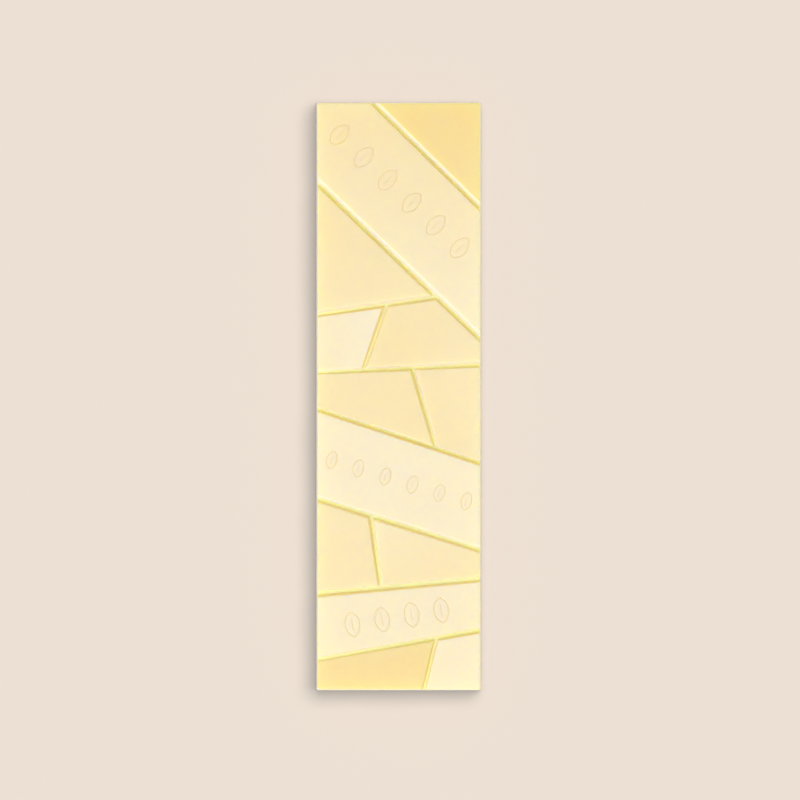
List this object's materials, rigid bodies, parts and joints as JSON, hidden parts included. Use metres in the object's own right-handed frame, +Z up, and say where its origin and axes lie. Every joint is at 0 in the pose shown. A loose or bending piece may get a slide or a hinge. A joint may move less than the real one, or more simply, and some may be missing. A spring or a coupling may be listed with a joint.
{
  "type": "chocolate bar",
  "caption": "Slim bar of white chocolate moulded as a mosaic of flat, slightly tilted shards between narrow grooves, with faint engraved cocoa beans and a flat back.",
  "frame": {"origin": "middle of the flat underside", "axes": "+Z up, out of the moulded face; +Y along the bar, towards the end with the corner groove; +X across the bar"},
  "size_m": [0.045, 0.16, 0.0087],
  "materials": {
    "white_chocolate": "glossy moulded white chocolate, cream-yellow"
  },
  "bodies": {
    "root": {"chocolate_bar": "white_chocolate"}
  },
  "joints": []
}
